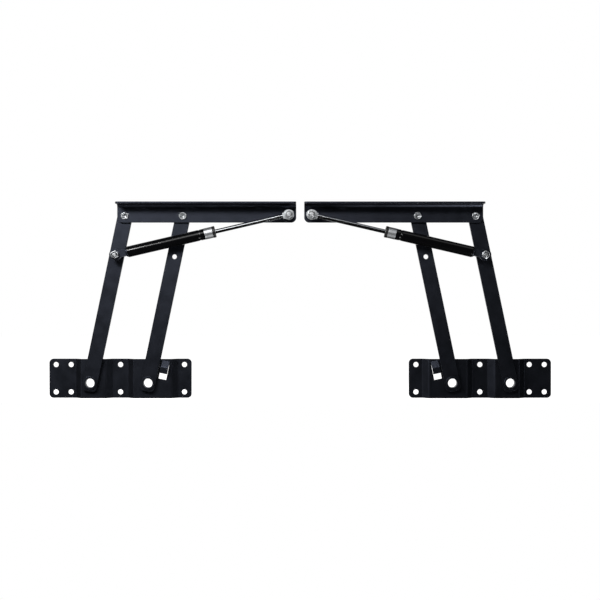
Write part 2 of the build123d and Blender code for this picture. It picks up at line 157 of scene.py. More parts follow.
def make_powder_coat():
    """Black with a soft orange peel, a wandering gloss and a faintly blue sheen."""
    material, tree, shader, place = start_material(
        "black_powder_coat", {"IOR": 1.6, "Specular Tint": srgb("c3cdea")}
    )
    peel = add_node(tree, "ShaderNodeTexNoise", {"Vector": place, "Scale": 1 / PEEL_CELL})
    cloud = add_node(tree, "ShaderNodeTexNoise", {"Vector": place, "Scale": 1 / CLOUD_CELL})
    vary_finish(tree, shader, cloud.outputs["Fac"], shades=("090a0c", "0e0f12"), gloss=(0.38, 0.46))
    vary_finish(tree, shader, peel.outputs["Fac"], depth=PEEL_DEPTH)
    return material


powder_coat = make_powder_coat()
print(powder_coat.name, "with a peel of", PEEL_CELL / MM, "mm")

# %% [markdown]
# ## Gloss enamel
#
# The strut's tube is dipped in a glossy black enamel. It flows almost flat before it sets, so it
# mirrors a lamp as one thin line. What keeps the line from looking drawn is a long, very low wave in
# the film, several millimetres from crest to crest.

# %% Gloss enamel
WAVE_CELL = 7 * MM
WAVE_DEPTH = 0.03 * MM


def make_gloss_enamel():
    """Black and glossy, with a long low wave."""
    material, tree, shader, place = start_material(
        "gloss_black_enamel", {"IOR": 1.45, "Base Color": srgb("060607")}
    )
    swell = {"Vector": place, "Scale": 1 / WAVE_CELL, "Detail": 1.0}
    wave = add_node(tree, "ShaderNodeTexNoise", swell)
    speck = add_node(tree, "ShaderNodeTexNoise", {"Vector": place, "Scale": 1 / PEEL_CELL})
    vary_finish(tree, shader, speck.outputs["Fac"], gloss=(0.12, 0.18))
    vary_finish(tree, shader, wave.outputs["Fac"], depth=WAVE_DEPTH)
    return material


gloss_enamel = make_gloss_enamel()
print(gloss_enamel.name, "with a wave of", WAVE_CELL / MM, "mm")

# %% [markdown]
# ## Bright zinc plate
#
# Nuts, bolts, rivets, spacers and the rod's eye are steel with a thin bright layer of zinc. Under it
# the tool marks of the lathe still show as fine rings. The turned pieces carry an attribute,
# ring_place, with their own radius and depth, so a noise read over it makes rings that follow each
# piece's axis. Pieces without the attribute read zero there and only get the cloudy sheen.

# %% Zinc plate
TURNING_FEED = 0.35 * MM  # the real feed is finer; it is coarse enough here to show
TURNING_DEPTH = 0.003 * MM
ZINC_CELL = 2.2 * MM


def make_zinc_plate():
    """Bright and a little cloudy, with turning marks on the pieces that have a ring_place."""
    material, tree, shader, place = start_material("bright_zinc_plate", {"Metallic": 1.0})
    cloud = add_node(tree, "ShaderNodeTexNoise", {"Vector": place, "Scale": 1 / ZINC_CELL})
    vary_finish(tree, shader, cloud.outputs["Fac"], shades=("b2b5b8", "cbcdcf"), gloss=(0.42, 0.5))
    rings = add_node(tree, "ShaderNodeAttribute", attribute_name="ring_place")
    feed = {"Vector": rings.outputs["Vector"], "Scale": 1 / TURNING_FEED}
    marks = add_node(tree, "ShaderNodeTexNoise", feed)
    vary_finish(tree, shader, marks.outputs["Fac"], depth=TURNING_DEPTH)
    return material


zinc_plate = make_zinc_plate()
print(zinc_plate.name, "with turning marks of", TURNING_FEED / MM, "mm")

# %% [markdown]
# ## Hard chrome
#
# The strut's rod is ground round and then chromed, and its seal only lasts if it stays smooth. The
# last grinding leaves rings too fine to see one by one, which only dull the mirror a little. Their
# pattern needs the distance along the strut: the dot product of a point with the strut's direction.
# Both struts lean to the middle, so taking x without its sign serves both.

# %% Hard chrome
strut_start = sum(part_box("left_strut_bolt"), Vector()) / 2
strut_stop = sum(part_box("left_rod_pivot"), Vector()) / 2
strut_run = strut_stop - strut_start
strut_run.y = 0
strut_direction = strut_run.normalized()
GRINDING_CELL = 0.5 * MM  # the real marks are finer; they are coarse enough here to show
GRINDING_DEPTH = 0.0001 * MM


def add_strut_distance(tree, place):
    """Give the distance along either strut, in metres, at a point of it."""
    parts = add_node(tree, "ShaderNodeSeparateXYZ", {"Vector": place})
    outward = add_node(tree, "ShaderNodeMath", {0: parts.outputs["X"]}, operation="ABSOLUTE")
    level = {"X": outward.outputs["Value"], "Z": parts.outputs["Z"]}
    folded = add_node(tree, "ShaderNodeCombineXYZ", level)
    pair = {0: folded.outputs["Vector"], 1: (-strut_direction.x, 0, strut_direction.z)}
    return add_node(tree, "ShaderNodeVectorMath", pair, operation="DOT_PRODUCT").outputs["Value"]


def make_hard_chrome():
    """A slightly dulled mirror with fine rings round the rod."""
    material, tree, shader, place = start_material(
        "ground_hard_chrome", {"Metallic": 1.0, "Base Color": srgb("c6c9cc"), "Roughness": 0.14}
    )
    reach = add_strut_distance(tree, place)
    rings = {"W": reach, "Scale": 1 / GRINDING_CELL}
    marks = add_node(tree, "ShaderNodeTexNoise", rings, noise_dimensions="1D")
    vary_finish(tree, shader, marks.outputs["Fac"], depth=GRINDING_DEPTH)
    return material


hard_chrome = make_hard_chrome()
print(hard_chrome.name, "along", [round(v, 3) for v in strut_direction])

# %% [markdown]
# ## Foil, nylon and the strut's inner materials
#
# The band at the strut's mouth is a bare strip of silver foil, rubbed down by hand, so it keeps soft
# creases. Nylon caps and washers are moulded in a spark-eroded tool, which leaves an even matt
# grain. Rubber, sintered bronze and turned aluminium sit inside the strut. All six differ from each
# other only in a few values, so one function makes them from a table: a colour that clouds over
# between two close shades, and a grain of its own size and depth.


# %% The plainer materials
def make_grained(name, sockets, shades, grain, depth):
    """A material that clouds between two shades and has a grain of that size and depth."""
    material, tree, shader, place = start_material(name, sockets)
    pattern = {"Vector": place, "Scale": 1 / grain, "Detail": 3.0}
    texture = add_node(tree, "ShaderNodeTexNoise", pattern)
    vary_finish(tree, shader, texture.outputs["Fac"], shades=shades, depth=depth)
    return material


FOIL = {"Metallic": 1.0, "Roughness": 0.45}
BRONZE = {"Metallic": 1.0, "Roughness": 0.4}
ALUMINIUM = {"Metallic": 1.0, "Roughness": 0.3}
GRAINED = {  # the shader's own sockets, two shades, the grain's size and its depth
    "silver_foil": (FOIL, ("b0b2b5", "c4c6c8"), 1.8 * MM, 0.03 * MM),
    "moulded_black_nylon": ({"Roughness": 0.45}, ("0a0a0b", "101012"), 0.5 * MM, 0.01 * MM),
    "lock_ring_nylon": ({"Roughness": 0.4}, ("14171e", "1c2029"), 0.5 * MM, 0.01 * MM),
    "nitrile_rubber": ({"Roughness": 0.6}, ("0c0c0c", "131313"), 0.8 * MM, 0.01 * MM),
    "sintered_bronze": (BRONZE, ("9c7440", "b58a52"), 0.3 * MM, 0.01 * MM),
    "turned_aluminium": (ALUMINIUM, ("bfc2c5", "d3d5d8"), 0.6 * MM, 0.01 * MM),
}
grained = {name: make_grained(name, *look) for name, look in GRAINED.items()}
print(len(grained), "grained materials")

# %% [markdown]
# ## Which piece gets which material
#
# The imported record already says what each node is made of, by a material slot. A dictionary from
# slot to material dresses every node, hidden ones too.

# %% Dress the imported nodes
FINISHES = {
    "black_coat": powder_coat,
    "gloss_black": gloss_enamel,
    "zinc_plate": zinc_plate,
    "hard_chrome": hard_chrome,
    "silver_foil": grained["silver_foil"],
    "black_nylon": grained["moulded_black_nylon"],
    "nut_nylon": grained["lock_ring_nylon"],
    "black_rubber": grained["nitrile_rubber"],
    "bronze_bush": grained["sintered_bronze"],
    "piston_aluminium": grained["turned_aluminium"],
}
slot_of = {part["node"]: part["material_slot"] for part in frame["record"]["subparts"]}
bodies = frame["record"]["behaviour"]["bodies"]
body_of = {node: body for body, nodes in bodies.items() for node in nodes}
for node, thing in frame["nodes"].items():
    thing.data.materials.clear()
    thing.data.materials.append(FINISHES[slot_of[node]])
print(len(slot_of), "nodes dressed")

# %% [markdown]
# ## Rims that catch the light
#
# A solid model has perfectly sharp corners, and no real rim is sharp: the press rolls it over and
# the coat rounds it again. Each pressed or moulded piece is copied, its loose triangles are welded,
# the flat ones are joined into whole faces, and a Bevel modifier rounds only the edges that turn by
# more than 30 degrees. The copy replaces the node, stays exactly in its place and rides on its body.
# Tube and rod get no bevel, and neither do the round turned pieces. Their right-angled edges stay
# sharp, because shading smoothed over such an edge would tilt along the whole length of a rod.

# %% From a node to a piece
RIM_ANGLE = radians(30)
SHARP_ANGLE = radians(60)
RIM_STEPS = 2
FLAT_ANGLE = radians(0.3)
WELD = 0.002 * MM


def add_object(name, data):
    """Put a mesh, curve, lamp or camera on a new object in the scene."""
    thing = bpy.data.objects.new(name, data)
    bpy.context.scene.collection.objects.link(thing)
    return thing


def keep_piece(name, mesh, nodes):
    """Make an object from a mesh and let it stand for those nodes, on their body."""
    piece = add_object(name, mesh)
    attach(piece, body_of[nodes[0]])
    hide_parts(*nodes)
    return piece


def settle(carrier):
    """Turn an object with modifiers into one plain mesh, and remove the object."""
    shape = carrier.evaluated_get(bpy.context.evaluated_depsgraph_get())
    mesh = bpy.data.meshes.new_from_object(shape)
    bpy.data.objects.remove(carrier)
    return mesh


def weld(mesh, flat_angle=FLAT_ANGLE):
    """Merge a mesh's loose triangles, join those that lie flat and point all faces outwards."""
    shape = bmesh.new()
    shape.from_mesh(mesh)
    bmesh.ops.remove_doubles(shape, verts=shape.verts, dist=WELD)
    bmesh.ops.dissolve_limit(shape, angle_limit=flat_angle, verts=shape.verts, edges=shape.edges)
    bmesh.ops.recalc_face_normals(shape, faces=shape.faces)
    shape.to_mesh(mesh)
    shape.free()


def soften(mesh, rim):
    """Round a mesh's edges by that width, in metres; at 0, keep its right-angled edges sharp."""
    mesh.shade_smooth()
    if not rim:
        mesh.set_sharp_from_angle(angle=SHARP_ANGLE)
    carrier = add_object("softened", mesh)
    if rim:
        bevel = carrier.modifiers.new("rim", "BEVEL")
        bevel.limit_method = "ANGLE"
        bevel.angle_limit = RIM_ANGLE
        bevel.width = rim
        bevel.segments = RIM_STEPS
        bevel.use_clamp_overlap = False
    even = carrier.modifiers.new("even", "WEIGHTED_NORMAL")
    even.keep_sharp = not rim
    return settle(carrier)


print("edges that turn by more than", round(degrees(RIM_ANGLE)), "degrees are rounded")

# %% Round the rims
SIDES = ("left", "right")
RIMS = {
    "base_plate": 0.3 * MM,
    "front_arm": 0.12 * MM,
    "rear_arm": 0.12 * MM,
    "top_rail": 0.3 * MM,
    "strut_end_eye": 0.25 * MM,
    "strut_tube": 0.0,
    "strut_end_cap": 0.1 * MM,
    "strut_rod": 0.0,
    "rod_eye": 0.25 * MM,
}
for side in SIDES:
    for part, rim in RIMS.items():
        node = f"{side}_{part}"
        mesh = frame["nodes"][node].data.copy()
        weld(mesh)
        piece = keep_piece(f"{node}_rimmed", soften(mesh, rim), [node])
        print(piece.name, len(piece.data.polygons), "faces")

# %% [markdown]
# ## A lathe in Geometry Nodes
#
# Rivets, washers, spacers, nuts and bolts are all turned about one axis, and each size occurs
# several times. So one tree works as a lathe. It takes the outline of half a section as a curve,
# rounds its corners, and wraps a grid round the axis: a row of the grid for each point of the
# outline, a column for each step of the turn. All points of the grid are worked on at once, so
# each one finds its own row and column from its index, by a short table of sums. The finished piece
# is put on every point of the carrier, and these points are the real pivots. A second tree, for nuts
# and bolts, crosses the turned piece with a six-sided bar, which leaves the curved corners that a
# chamfered hexagon has.

# %% Trees and their inputs
CORNER_STEPS = 3  # points round each rounded corner of an outline
TURN_STEPS = 40  # steps of a full turn


def open_tree(name, inputs):
    """Start a Geometry Nodes tree with those inputs; hand back the tree and its inputs' sockets."""
    tree = bpy.data.node_groups.new(name, "GeometryNodeTree")
    for label, kind in {"Geometry": "Geometry", **inputs}.items():
        tree.interface.new_socket(label, in_out="INPUT", socket_type=f"NodeSocket{kind}")
    tree.interface.new_socket("Geometry", in_out="OUTPUT", socket_type="NodeSocketGeometry")
    return tree, tree.nodes.new("NodeGroupInput").outputs


def close_tree(tree, given, shape):
    """End a tree: put the shape on each point, make the copies real and give them their finish."""
    points = {"Points": given["Geometry"], "Instance": shape}
    copies = add_node(tree, "GeometryNodeInstanceOnPoints", points).outputs["Instances"]
    real = add_node(tree, "GeometryNodeRealizeInstances", {"Geometry": copies}).outputs["Geometry"]
    finish = {"Geometry": real, "Material": given["Finish"]}
    dressed = add_node(tree, "GeometryNodeSetMaterial", finish).outputs["Geometry"]
    add_node(tree, "NodeGroupOutput", {"Geometry": dressed})


def run_tree(tree, points, inputs):
    """Run a tree on those points with those inputs, and hand back the plain mesh it makes."""
    mesh = bpy.data.meshes.new(tree.name)
    mesh.from_pydata(points, [], [])
    carrier = add_object(tree.name, mesh)
    modifier = carrier.modifiers.new(tree.name, "NODES")
    modifier.node_group = tree
    for socket in tree.interface.items_tree:
        if socket.in_out == "INPUT" and socket.name in inputs:
            modifier[socket.identifier] = inputs[socket.name]
    return settle(carrier)


print("outlines get", CORNER_STEPS, "points a corner and", TURN_STEPS, "steps a turn")


# %% From a grid to a turned shell
LATHE_SUMS = (
    ("rows", "ADD", "points", "closed"),
    ("columns", "ADD", "steps", 1.0),
    ("raised", "ADD", "index", 0.5),  # so that rounding never lands in the column before
    ("share", "DIVIDE", "raised", "rows"),
    ("column", "FLOOR", "share"),
    ("passed", "MULTIPLY", "column", "rows"),
    ("row", "SUBTRACT", "index", "passed"),
    ("reading", "MODULO", "row", "points"),
    ("part", "DIVIDE", "column", "steps"),
    ("turn", "MULTIPLY", "part", 2 * pi),
    ("cosine", "COSINE", "turn"),
    ("sine", "SINE", "turn"),
)


def add_sums(tree, line, given):
    """Add a node for each sum of the table; a sum is its name, its operation and its terms."""
    size = add_node(tree, "GeometryNodeAttributeDomainSize", {"Geometry": line}, component="CURVE")
    values = {"points": size.outputs["Point Count"], "closed": given["Closed"]}
    values["steps"] = given["Turn steps"]
    values["index"] = add_node(tree, "GeometryNodeInputIndex").outputs["Index"]
    for name, operation, *terms in LATHE_SUMS:
        sockets = {place: values.get(term, term) for place, term in enumerate(terms)}
        values[name] = add_node(tree, "ShaderNodeMath", sockets, operation=operation).outputs["Value"]
    return values


def wrap_grid(tree, line, given):
    """Wrap a grid round the y axis, with a row for each point of the outline."""
    values = add_sums(tree, line, given)
    mesh_size = {"Vertices X": values["columns"], "Vertices Y": values["rows"]}
    grid = add_node(tree, "GeometryNodeMeshGrid", mesh_size).outputs["Mesh"]
    place = add_node(tree, "GeometryNodeInputPosition").outputs["Position"]
    reading = {"Geometry": line, "Value": place, "Index": values["reading"]}
    point = add_node(tree, "GeometryNodeSampleIndex", reading, data_type="FLOAT_VECTOR").outputs["Value"]
    parts = add_node(tree, "ShaderNodeSeparateXYZ", {"Vector": point}).outputs
    wrapped = {"Y": parts["Y"]}
    for axis, share in (("X", "cosine"), ("Z", "sine")):
        pair = {0: parts["X"], 1: values[share]}
        wrapped[axis] = add_node(tree, "ShaderNodeMath", pair, operation="MULTIPLY").outputs["Value"]
    moved = {"Geometry": grid}
    moved["Position"] = add_node(tree, "ShaderNodeCombineXYZ", wrapped).outputs["Vector"]
    shell = add_node(tree, "GeometryNodeSetPosition", moved).outputs["Geometry"]
    store = {"Geometry": shell, "Name": "ring_place", "Value": point}
    settings = {"data_type": "FLOAT_VECTOR", "domain": "POINT"}
    marked = add_node(tree, "GeometryNodeStoreNamedAttribute", store, **settings).outputs["Geometry"]
    merge = {"Geometry": marked, "Distance": WELD}
    return add_node(tree, "GeometryNodeMergeByDistance", merge).outputs["Geometry"]


print("a lathe works out", len(LATHE_SUMS), "sums at each point of its grid")

# %% The lathe
QUARTER = radians(90)  # of a turn
TWELFTH = radians(30)
BAR_LENGTH = 1.0  # only has to be longer than any nut or bolt


def cross_with_bar(tree, shape, across_flats):
    """Keep what a turned shape and a six-sided bar along the y axis have in common."""
    half = {0: across_flats, 1: 2 * cos(TWELFTH)}
    corner = add_node(tree, "ShaderNodeMath", half, operation="DIVIDE").outputs["Value"]
    bar_size = {"Vertices": 6, "Radius": corner, "Depth": BAR_LENGTH}
    bar = add_node(tree, "GeometryNodeMeshCylinder", bar_size).outputs["Mesh"]
    turned = {"Geometry": bar, "Rotation": (QUARTER, TWELFTH, 0)}
    hexagon = add_node(tree, "GeometryNodeTransform", turned).outputs["Geometry"]
    pair = {"Mesh": [shape, hexagon]}
    settings = {"operation": "INTERSECT", "solver": "EXACT"}
    return add_node(tree, "GeometryNodeMeshBoolean", pair, **settings).outputs["Mesh"]


def make_lathe(name, six_sided):
    """Build the tree that turns an outline; a six-sided one crosses it with a hexagon bar."""
    inputs = {"Outline": "Object", "Closed": "Int", "Corner round": "Float", "Turn steps": "Int"}
    inputs["Finish"] = "Material"
    if six_sided:
        inputs["Across flats"] = "Float"
    tree, given = open_tree(name, inputs)
    outline = add_node(tree, "GeometryNodeObjectInfo", {"Object": given["Outline"]}).outputs["Geometry"]
    corners = {"Curve": outline, "Radius": given["Corner round"], "Limit Radius": True}
    corners["Count"] = CORNER_STEPS
    line = add_node(tree, "GeometryNodeFilletCurve", corners, mode="POLY").outputs["Curve"]
    shape = wrap_grid(tree, line, given)
    if six_sided:
        shape = cross_with_bar(tree, shape, given["Across flats"])
    close_tree(tree, given, shape)
    return tree


lathe = make_lathe("turned_piece", six_sided=False)
hexagon_lathe = make_lathe("hexagon_piece", six_sided=True)
print("trees:", lathe.name, "and", hexagon_lathe.name)


# %% Turning a node's pieces
def draw_outline(points, closed):
    """Draw half a section as a curve: x is the radius and y the place along the axis."""
    curve = bpy.data.curves.new("outline", "CURVE")
    curve.dimensions = "3D"
    line = curve.splines.new("POLY")
    line.points.add(len(points) - 1)
    for spot, (radius, place) in zip(line.points, points):
        spot.co = (radius, place, 0, 1)
    line.use_cyclic_u = closed
    return add_object("outline", curve)


def pivot_of(node):
    """The middle of a node, seen from the front, as a point on the plane y = 0."""
    middle = sum(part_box(node), Vector()) / 2
    return (middle.x, 0, middle.z)


def turn_pieces(nodes, points, corner, closed=True, flats=0.0):
    """Turn one outline about the axis of each of those nodes; flats makes it a hexagon."""
    outline = draw_outline(points, closed)
    inputs = {"Outline": outline, "Closed": int(closed), "Corner round": corner}
    inputs.update({"Turn steps": TURN_STEPS, "Finish": FINISHES[slot_of[nodes[0]]]})
    if flats:
        inputs["Across flats"] = flats
    mesh = run_tree(hexagon_lathe if flats else lathe, [pivot_of(node) for node in nodes], inputs)
    bpy.data.objects.remove(outline)
    return mesh


def finish_turning(name, mesh, nodes, rim=0.0):
    """Weld and soften a turned mesh and let it stand for those nodes."""
    weld(mesh, flat_angle=0.0)
    piece = keep_piece(name, soften(mesh, rim), nodes)
    print(piece.name, len(piece.data.polygons), "faces")


# %% [markdown]
# ## Top rivets
#
# The arms hang on semi-tubular rivets. A die rolls the hollow end outwards over the rail, and what
# the viewer sees is a bright rolled ring round a dark funnel. So the outline is a domed head behind
# the arm, a shank, a lip that is most of a circle, a cone inwards and the bore with its drilled end.

# %% Top rivets
RIVET_SHANK = 3.6 * MM
RIVET_DOME = 1.8 * MM
ROLL_CENTRE = 4.45 * MM
ROLL_THICKNESS = 0.75 * MM
FUNNEL_DEPTH = 0.9 * MM
RIVET_BORE = 2.9 * MM
RIVET_BORE_DEPTH = 2.4 * MM
RIVET_ROUND = 0.1 * MM
DRILL_ANGLE = 90
DRILL_POINT = RIVET_BORE / tan(radians(DRILL_ANGLE / 2))
DOME_TURNS = range(0, 91, 15)  # in degrees, from the middle of the dome to its rim
ROLL_TURNS = range(-20, 181, 20)  # in degrees, from the shank over the roll into the funnel
RAIL_SHEET = 2.5 * MM


def rivet_outline(node, rail):
    """Half a section of a rolled rivet, from its domed head to its drilled bore."""
    front, back = (corner.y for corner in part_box(node))
    head_radius = (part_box(node)[1].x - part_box(node)[0].x) / 2
    head_front = back - RIVET_DOME
    web_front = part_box(rail)[1].y - RAIL_SHEET
    dome = [radians(turn) for turn in DOME_TURNS]
    outline = [(head_radius * sin(turn), head_front + RIVET_DOME * cos(turn)) for turn in dome]
    outline += [(RIVET_SHANK, head_front), (RIVET_SHANK, web_front)]
    roll_middle = front + ROLL_THICKNESS
    outline += [
        (ROLL_CENTRE + ROLL_THICKNESS * cos(turn), roll_middle - ROLL_THICKNESS * sin(turn))
        for turn in (radians(turn) for turn in ROLL_TURNS)
    ]
    outline += [
        (RIVET_BORE, roll_middle + FUNNEL_DEPTH),
        (RIVET_BORE, roll_middle + RIVET_BORE_DEPTH),
        (0, roll_middle + RIVET_BORE_DEPTH + DRILL_POINT),
    ]
    return outline


for side in SIDES:
    nodes = [f"{side}_front_top_rivet", f"{side}_rear_top_rivet"]
    outline = rivet_outline(nodes[0], f"{side}_top_rail")
    mesh = turn_pieces(nodes, outline, RIVET_ROUND, closed=False)
    finish_turning(f"{side}_rolled_top_rivets", mesh, nodes)

# %% [markdown]
# ## Base eyelets, washers and spacers
#
# The feet of the arms turn on wide hollow rivets, open enough to see through. Both lips are rolled
# over and coated with the plate. Washers and spacers are plain rings: the nylon ones are moulded
# with soft edges, the zinc ones are turned and have crisper ones.

# %% Base eyelets
EYELET_BORE = 6.25 * MM
EYELET_WALL = 1.05 * MM
LIP_THICKNESS = 1.2 * MM
LIP_ROUND = 0.55 * MM


def eyelet_outline(node):
    """A closed section of a hollow rivet: a wall between two lips."""
    front, back = (corner.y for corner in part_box(node))
    lip = (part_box(node)[1].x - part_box(node)[0].x) / 2
    wall = EYELET_BORE + EYELET_WALL
    return [
        (EYELET_BORE, back),
        (lip, back),
        (lip, back - LIP_THICKNESS),
        (wall, back - LIP_THICKNESS),
        (wall, front + LIP_THICKNESS),
        (lip, front + LIP_THICKNESS),
        (lip, front),
        (EYELET_BORE, front),
    ]


for side in SIDES:
    nodes = [f"{side}_front_base_eyelet", f"{side}_rear_base_eyelet"]
    mesh = turn_pieces(nodes, eyelet_outline(nodes[0]), LIP_ROUND)
    finish_turning(f"{side}_rolled_base_eyelets", mesh, nodes)


# %% Washers and spacers
def ring_outline(node, bore):
    """A closed section of a flat ring, as thick and wide as its node."""
    low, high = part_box(node)
    rim = (high.x - low.x) / 2
    return [(bore, high.y), (rim, high.y), (rim, low.y), (bore, low.y)]


BOLT_RADIUS = 3.0 * MM
RINGS = {
    "base_washers": (("front_base_washer", "rear_base_washer"), EYELET_BORE + EYELET_WALL, 0.25 * MM),
    "top_washers": (("front_top_washer", "rear_top_washer"), RIVET_SHANK, 0.2 * MM),
    "strut_spacer": (("strut_spacer",), BOLT_RADIUS, 0.3 * MM),
    "rail_spacer": (("rail_spacer",), BOLT_RADIUS, 0.3 * MM),
}
for side in SIDES:
    for name, (parts, bore, corner) in RINGS.items():
        nodes = [f"{side}_{part}" for part in parts]
        mesh = turn_pieces(nodes, ring_outline(nodes[0], bore), corner)
        finish_turning(f"{side}_turned_{name}", mesh, nodes)

# %% [markdown]
# ## Lock nuts and bolts
#
# Each end of the strut turns on an M6 bolt with a lock nut. The nut is a chamfered hexagon with a
# collar in front, rolled in over a dark nylon ring, and the bolt's bright tip looks out of it. The
# outlines hold the bevels, and the six-sided tree cuts the flats.

# %% Lock nuts
ACROSS_FLATS = 10.0 * MM
HEXAGON_BEVEL = 0.7 * MM
HEXAGON_HEIGHT = 4.2 * MM
COLLAR_RADIUS = 4.6 * MM
SEAT_RADIUS = 4.1 * MM
MOUTH_RADIUS = 3.75 * MM
MOUTH_LIP = 0.35 * MM
HEXAGON_RIM = 0.12 * MM
NUT_ROUND = 0.25 * MM
INSERT_ROUND = 0.2 * MM


def bevelled_hexagon(back, front):
    """The outer points of a hexagon's outline; the flats cut it later."""
    face = ACROSS_FLATS / 2
    corner = face + 2 * HEXAGON_BEVEL
    return [(face, back), (corner, back - HEXAGON_BEVEL), (corner, front + HEXAGON_BEVEL), (face, front)]


def nut_outline(node):
    """A closed section of a lock nut: hexagon, collar and the seat of its ring."""
    front, back = (corner.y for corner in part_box(node))
    step = back - HEXAGON_HEIGHT
    return [
        (BOLT_RADIUS, back),
        *bevelled_hexagon(back, step),
        (COLLAR_RADIUS, step),
        (COLLAR_RADIUS, front),
        (MOUTH_RADIUS, front),
        (MOUTH_RADIUS, front + MOUTH_LIP),
        (SEAT_RADIUS, front + MOUTH_LIP),
        (SEAT_RADIUS, step),
        (BOLT_RADIUS, step),
    ]


for side in SIDES:
    for part in ("strut_nut", "rod_nut"):
        node = f"{side}_{part}"
        mesh = turn_pieces([node], nut_outline(node), NUT_ROUND, flats=ACROSS_FLATS)
        finish_turning(f"{node}_turned", mesh, [node], HEXAGON_RIM)
        insert = f"{node}_insert"
        ring = turn_pieces([insert], ring_outline(insert, BOLT_RADIUS), INSERT_ROUND)
        finish_turning(f"{insert}_turned", ring, [insert])

# %% [markdown]
# ## Threads
#
# Only the last turn of each thread looks out of its nut, but it is what makes a bolt's tip look
# like one. A spiral is the path and a small diamond the tooth: that is quicker than cutting a
# groove, and it looks the same once the tooth sinks into the core. M6 has a pitch of 1 mm.

# %% A thread in Geometry Nodes
THREAD_PITCH = 1.0 * MM
CORE_RADIUS = 2.55 * MM
TOOTH = 0.42 * MM
SPIRAL_STEPS = 28


def make_thread_tree():
    """Build the tree that winds a tooth round a core, from the point that carries it forwards."""
    inputs = {name: "Float" for name in ("Turns", "Pitch", "Core radius", "Tooth")}
    tree, given = open_tree("bolt_thread", {**inputs, "Finish": "Material"})
    rise = {0: given["Turns"], 1: given["Pitch"]}
    height = add_node(tree, "ShaderNodeMath", rise, operation="MULTIPLY").outputs["Value"]
    winding = {"Resolution": SPIRAL_STEPS, "Rotations": given["Turns"], "Height": height}
    winding.update({"Start Radius": given["Core radius"], "End Radius": given["Core radius"]})
    spiral = add_node(tree, "GeometryNodeCurveSpiral", winding).outputs["Curve"]
    upright = add_node(tree, "GeometryNodeSetCurveNormal", {"Curve": spiral}, mode="Z_UP")
    tooth = {"Resolution": 4, "Radius": given["Tooth"]}
    diamond = add_node(tree, "GeometryNodeCurvePrimitiveCircle", tooth).outputs["Curve"]
    sweep = {"Curve": upright.outputs["Curve"], "Profile Curve": diamond, "Fill Caps": True}
    ridge = add_node(tree, "GeometryNodeCurveToMesh", sweep).outputs["Mesh"]
    forwards = {"Geometry": ridge, "Rotation": (QUARTER, 0, 0)}
    close_tree(tree, given, add_node(tree, "GeometryNodeTransform", forwards).outputs["Geometry"])
    return tree


thread_tree = make_thread_tree()
print(thread_tree.name, "with a pitch of", THREAD_PITCH / MM, "mm")

# %% Bolts
HEAD_HEIGHT = 4.0 * MM
TIP_BEVEL = 0.5 * MM
THREAD_TURNS = 6
THREAD_END = 0.75 * MM  # the last tooth's middle, behind the tip
BOLT_ROUND = 0.15 * MM


def bolt_outline(node, headed, threaded):
    """Half a section of a bolt: an optional head, a shank, and a threaded core with a bevelled tip."""
    front, back = (corner.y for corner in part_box(node))
    outline = [(0, back)]
    if headed:
        outline += [*bevelled_hexagon(back, back - HEAD_HEIGHT), (BOLT_RADIUS, back - HEAD_HEIGHT)]
    else:
        outline += [(BOLT_RADIUS, back)]
    if threaded:
        thread_start = front + THREAD_END + THREAD_TURNS * THREAD_PITCH
        outline += [(BOLT_RADIUS, thread_start), (CORE_RADIUS, thread_start)]
        outline += [(CORE_RADIUS, front + TIP_BEVEL), (CORE_RADIUS - TIP_BEVEL, front), (0, front)]
    else:
        outline += [(BOLT_RADIUS, front), (0, front)]
    return outline


def thread_bolt(mesh, node):
    """Wind a thread for that bolt and add it to the bolt's mesh as a shell of its own."""
    across, _, up = pivot_of(node)
    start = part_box(node)[0].y + THREAD_END + THREAD_TURNS * THREAD_PITCH
    inputs = {"Turns": THREAD_TURNS, "Pitch": THREAD_PITCH, "Core radius": CORE_RADIUS}
    inputs.update({"Tooth": TOOTH, "Finish": zinc_plate})
    shape = bmesh.new()
    shape.from_mesh(mesh)
    shape.from_mesh(run_tree(thread_tree, [(across, start, up)], inputs))
    shape.to_mesh(mesh)
    shape.free()


BOLTS = {
    "strut_bolt": {"headed": True, "threaded": True},
    "rail_bolt": {"headed": True, "threaded": False},
    "rod_pivot": {"headed": False, "threaded": True},
}
for side in SIDES:
    for part, form in BOLTS.items():
        node = f"{side}_{part}"
        flats, rim = (ACROSS_FLATS, HEXAGON_RIM) if form["headed"] else (0.0, 0.0)
        outline = bolt_outline(node, **form)
        mesh = turn_pieces([node], outline, BOLT_ROUND, closed=False, flats=flats)
        if form["threaded"]:
            thread_bolt(mesh, node)
        finish_turning(f"{node}_turned", mesh, [node], rim)

# %% [markdown]
# ## Floor, room and lamps
#
# The picture shows the pair on pure white. The world is white to the camera, to mirrors and to
# glass, and a weaker grey to everything else, so it fills the shadows without bleaching them. The
# floor is pale and glows a little to the camera, so that only its shadows show.
#
# Black steel shows little but what it reflects, so a black tunnel closes round the set. Only
# reflections see it, and it is open only behind the set. Inside it hang small lamps. The left
# softbox gives the left bracket its sheen, and the centre one the right bracket and the fasteners.
# The rod softbox draws the bright line on the left strut, and the high card the fainter one on the
# right strut. The strips light the slopes beside the plates' crowns, and the low cards the
# undersides of flanges and struts.

# %% Floor
FLOOR_FRONT = -0.05
FLOOR_BACK = 2.5
FLOOR_HALF_WIDTH = 2.5
FLOOR_GLOW = 0.7


def make_floor_paint():
    """A pale paint that the camera sees white where no shadow falls."""
    sockets = {"Roughness": 0.9, "Specular IOR Level": 0.0, "Base Color": srgb("f4f4f4")}
    sockets["Emission Color"] = srgb("ffffff")
    material, tree, shader, _ = start_material("pale_floor", sockets)
    rays = add_node(tree, "ShaderNodeLightPath")
    glow = {0: rays.outputs["Is Camera Ray"], 1: FLOOR_GLOW}
    lift = add_node(tree, "ShaderNodeMath", glow, operation="MULTIPLY")
    tree.links.new(lift.outputs["Value"], shader.inputs["Emission Strength"])
    return material


